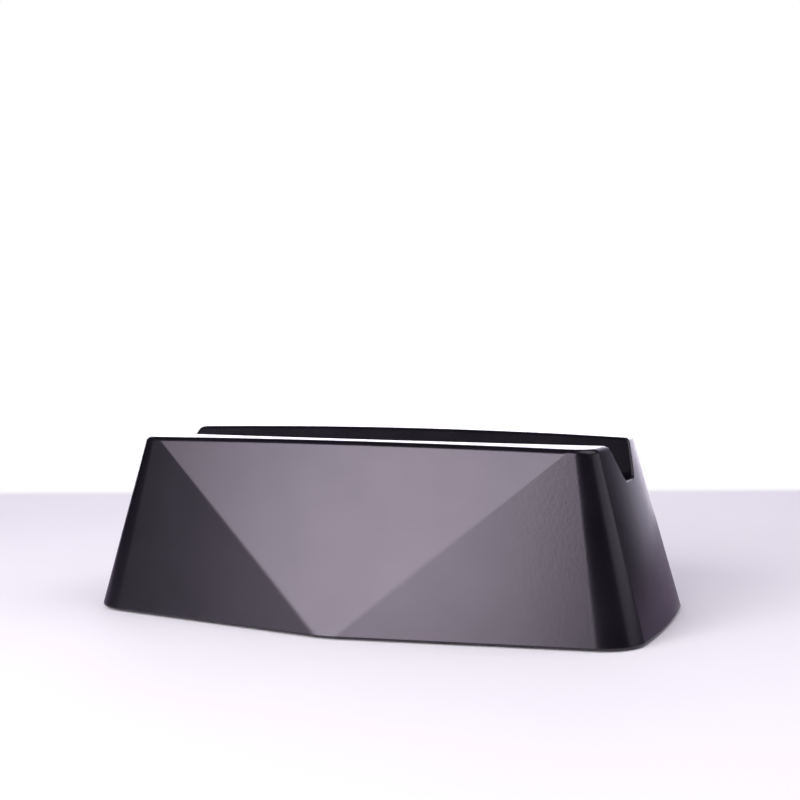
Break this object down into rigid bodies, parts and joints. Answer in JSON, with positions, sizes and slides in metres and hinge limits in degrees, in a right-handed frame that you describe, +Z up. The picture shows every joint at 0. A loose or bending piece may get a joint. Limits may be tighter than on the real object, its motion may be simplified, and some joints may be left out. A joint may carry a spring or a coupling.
{
  "type": "bike trainer front riser block",
  "caption": "Faceted plastic riser block, wider at its base, with a curved V-shaped groove along its top that cradles a bicycle's front wheel; it stands on rubber feet.",
  "frame": {"origin": "on the floor, under the middle of the block: the bottom centre of its bounding box", "axes": "+X along the wheel groove, the block's longest side; +Y towards the rear; +Z up. The front, which the picture shows, faces -Y"},
  "size_m": [0.2896, 0.1554, 0.0892],
  "materials": {
    "shell_plastic": "charcoal moulded plastic with a fine, slightly glossy spark-eroded texture",
    "foot_rubber": "matt black moulded rubber",
    "zinc_steel": "bright zinc-plated steel"
  },
  "bodies": {
    "root": {"shell": "shell_plastic", "foot_front_left": "foot_rubber", "foot_front_middle": "foot_rubber", "foot_front_right": "foot_rubber", "foot_rear_left": "foot_rubber", "foot_rear_middle": "foot_rubber", "foot_rear_right": "foot_rubber", "washer_front_left": "zinc_steel", "washer_front_middle": "zinc_steel", "washer_front_right": "zinc_steel", "washer_rear_left": "zinc_steel", "washer_rear_middle": "zinc_steel", "washer_rear_right": "zinc_steel", "screw_front_left": "zinc_steel", "screw_front_middle": "zinc_steel", "screw_front_right": "zinc_steel", "screw_rear_left": "zinc_steel", "screw_rear_middle": "zinc_steel", "screw_rear_right": "zinc_steel"}
  },
  "joints": []
}
